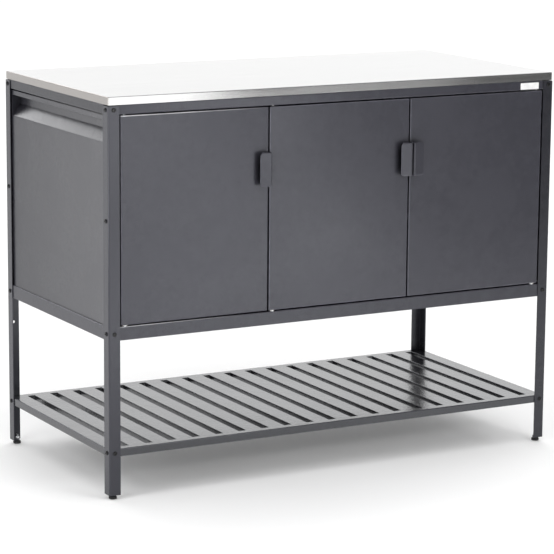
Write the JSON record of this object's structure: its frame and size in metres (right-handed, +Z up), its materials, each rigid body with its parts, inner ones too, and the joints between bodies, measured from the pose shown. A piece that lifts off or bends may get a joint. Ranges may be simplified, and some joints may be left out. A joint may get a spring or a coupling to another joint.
{
  "type": "outdoor kitchen unit",
  "caption": "Free-standing outdoor kitchen cabinet: stainless worktop, sheet-steel body with hinged doors and bent pulls, angle posts on levelling feet, open slatted shelf below.",
  "frame": {"origin": "bottom centre of the bounding box, on the ground under the feet", "axes": "+X to the right seen from the front, +Y to the back (the doors face -Y), +Z up"},
  "size_m": [1.206, 0.6139, 0.93],
  "materials": {
    "graphite_coat": "satin graphite powder coat on sheet steel",
    "stainless": "fine brushed stainless steel",
    "galvanised": "galvanised sheet",
    "black_steel": "black coated steel fasteners",
    "zinc_steel": "bright zinc plated steel",
    "black_plastic": "moulded black plastic",
    "nylon": "natural nylon",
    "magnet": "ferrite magnet",
    "white_plate": "blank white plate"
  },
  "bodies": {
    "frame": {"back_panel": "graphite_coat", "blank_plate": "white_plate", "cabinet_floor": "graphite_coat", "catch_housings": "black_plastic", "catch_magnets": "magnet", "divider_panel": "graphite_coat", "foot_nuts": "zinc_steel", "foot_plates": "graphite_coat", "frame_bolts": "black_steel", "frame_nuts": "zinc_steel", "lower_pivot_pins": "zinc_steel", "lower_shelf": "graphite_coat", "pivot_washers": "zinc_steel", "post_back_left": "graphite_coat", "post_back_right": "graphite_coat", "post_front_left": "graphite_coat", "post_front_right": "graphite_coat", "side_panel_left": "graphite_coat", "side_panel_right": "graphite_coat", "top_rail_back": "graphite_coat", "top_rail_front": "graphite_coat", "top_rail_left": "graphite_coat", "top_rail_right": "graphite_coat", "upper_pivot_pins": "zinc_steel", "worktop": "stainless", "worktop_stiffeners": "galvanised"},
    "door_left": {"door_left_bushes": "nylon", "door_left_handle": "graphite_coat", "door_left_handle_rivets": "graphite_coat", "door_left_liner": "graphite_coat", "door_left_skin": "graphite_coat", "door_left_strike": "zinc_steel"},
    "door_middle": {"door_middle_bushes": "nylon", "door_middle_handle": "graphite_coat", "door_middle_handle_rivets": "graphite_coat", "door_middle_liner": "graphite_coat", "door_middle_skin": "graphite_coat", "door_middle_strike": "zinc_steel"},
    "door_right": {"door_right_bushes": "nylon", "door_right_handle": "graphite_coat", "door_right_handle_rivets": "graphite_coat", "door_right_liner": "graphite_coat", "door_right_skin": "graphite_coat", "door_right_strike": "zinc_steel"},
    "foot_front_left": {"foot_pad_front_left": "black_plastic", "foot_stem_front_left": "zinc_steel"},
    "foot_front_right": {"foot_pad_front_right": "black_plastic", "foot_stem_front_right": "zinc_steel"},
    "foot_back_left": {"foot_pad_back_left": "black_plastic", "foot_stem_back_left": "zinc_steel"},
    "foot_back_right": {"foot_pad_back_right": "black_plastic", "foot_stem_back_right": "zinc_steel"}
  },
  "joints": [
    {"name": "door_left_hinge", "type": "hinge", "parent": "frame", "child": "door_left", "pos_m": [-0.557, -0.27725, 0.6465], "axis": [0, 0, -1], "range_deg": [0, 115]},
    {"name": "door_middle_hinge", "type": "hinge", "parent": "frame", "child": "door_middle", "pos_m": [-0.17667, -0.27725, 0.6465], "axis": [0, 0, -1], "range_deg": [0, 100]},
    {"name": "door_right_hinge", "type": "hinge", "parent": "frame", "child": "door_right", "pos_m": [0.557, -0.27725, 0.6465], "axis": [0, 0, 1], "range_deg": [0, 115]},
    {"name": "foot_front_left_turn", "type": "hinge", "parent": "frame", "child": "foot_front_left", "pos_m": [-0.586, -0.27175, 0.01], "axis": [0, 0, 1], "continuous": true},
    {"name": "foot_front_right_turn", "type": "hinge", "parent": "frame", "child": "foot_front_right", "pos_m": [0.586, -0.27175, 0.01], "axis": [0, 0, 1], "continuous": true},
    {"name": "foot_back_left_turn", "type": "hinge", "parent": "frame", "child": "foot_back_left", "pos_m": [-0.586, 0.29025, 0.01], "axis": [0, 0, 1], "continuous": true},
    {"name": "foot_back_right_turn", "type": "hinge", "parent": "frame", "child": "foot_back_right", "pos_m": [0.586, 0.29025, 0.01], "axis": [0, 0, 1], "continuous": true}
  ]
}
